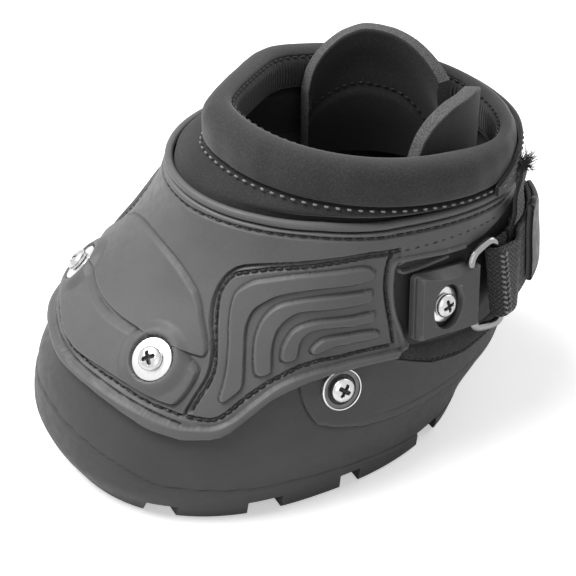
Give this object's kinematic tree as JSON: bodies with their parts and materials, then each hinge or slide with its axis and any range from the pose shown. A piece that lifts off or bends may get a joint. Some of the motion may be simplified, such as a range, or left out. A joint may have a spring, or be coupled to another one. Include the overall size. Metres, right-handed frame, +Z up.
{
  "type": "horse hoof boot",
  "caption": "Horse hoof boot: lugged rubber shell, moulded gaiter held by screws, padded collar, inner flaps, and a webbing strap on a wire ring.",
  "frame": {"origin": "on the ground, under the middle of the boot's outer box", "axes": "+Z up, toe towards -Y, heel towards +Y, +X on the side with the strap's bracket and ring"},
  "size_m": [0.1284, 0.184, 0.1205],
  "materials": {
    "shell_rubber": "moulded rubber, satin",
    "gaiter_rubber": "moulded soft rubber, satin",
    "counter_rubber": "smooth rubber sheet, matt",
    "piping_rubber": "rolled rubber edge, satin",
    "binding_elastic": "ribbed elastic, matt",
    "neoprene": "neoprene with a knit face, matt",
    "foam": "padded neoprene foam, matt",
    "webbing": "woven webbing, matt",
    "bracket_rubber": "moulded plate, satin",
    "tab_rubber": "smooth band, satin",
    "steel": "stainless steel, bright"
  },
  "bodies": {
    "boot": {"hoof_shell": "shell_rubber", "front_gaiter": "gaiter_rubber", "gaiter_piping": "piping_rubber", "heel_counter": "counter_rubber", "heel_binding": "binding_elastic", "collar_band": "neoprene", "collar_roll": "neoprene", "closure_flap": "neoprene", "strap_webbing": "webbing", "pull_strip": "webbing", "front_washer_right": "steel", "front_washer_left": "steel", "front_screw_right": "steel", "front_screw_left": "steel", "front_nut_right": "steel", "front_nut_left": "steel", "rear_washer_right": "steel", "rear_washer_left": "steel", "rear_screw_right": "steel", "rear_screw_left": "steel", "rear_nut_right": "steel", "rear_nut_left": "steel", "bracket_washer": "steel", "bracket_screw": "steel", "bracket_nut": "steel", "anchor_washer": "steel", "anchor_screw": "steel", "anchor_nut": "steel"},
    "bracket": {"strap_bracket": "bracket_rubber"},
    "ring": {"strap_ring": "steel"},
    "tail": {"strap_tail": "webbing", "strap_tab": "tab_rubber"},
    "heel_flap_body": {"heel_flap": "foam"},
    "side_flap_body": {"side_flap": "foam"}
  },
  "joints": [
    {"name": "bracket_swivel", "type": "hinge", "parent": "boot", "child": "bracket", "pos_m": [0.05269, 0.02835, 0.05962], "axis": [0.9572, 0.2093, 0.1997], "range_deg": [-2, 2]},
    {"name": "ring_swing", "type": "hinge", "parent": "bracket", "child": "ring", "pos_m": [0.05288, 0.0417, 0.06024], "axis": [0.1951, 0.0427, -0.9799], "range_deg": [0, 25]},
    {"name": "tail_peel", "type": "hinge", "parent": "ring", "child": "tail", "pos_m": [0.0503, 0.05305, 0.06022], "axis": [0.1951, 0.0427, -0.9799], "range_deg": [0, 60]},
    {"name": "heel_flap_fold", "type": "hinge", "parent": "boot", "child": "heel_flap_body", "pos_m": [0, 0.0631, 0.072], "axis": [1, 0, 0], "range_deg": [0, 15], "stiffness_Nm_per_rad": 0.2, "springref_deg": -5},
    {"name": "side_flap_fold", "type": "hinge", "parent": "boot", "child": "side_flap_body", "pos_m": [0, 0.0631, 0.072], "axis": [1, 0, 0], "range_deg": [0, 15], "stiffness_Nm_per_rad": 0.2, "springref_deg": -5}
  ],
  "couplings": [
    {"joint": "side_flap_fold", "follows": "heel_flap_fold", "ratio": 1}
  ]
}
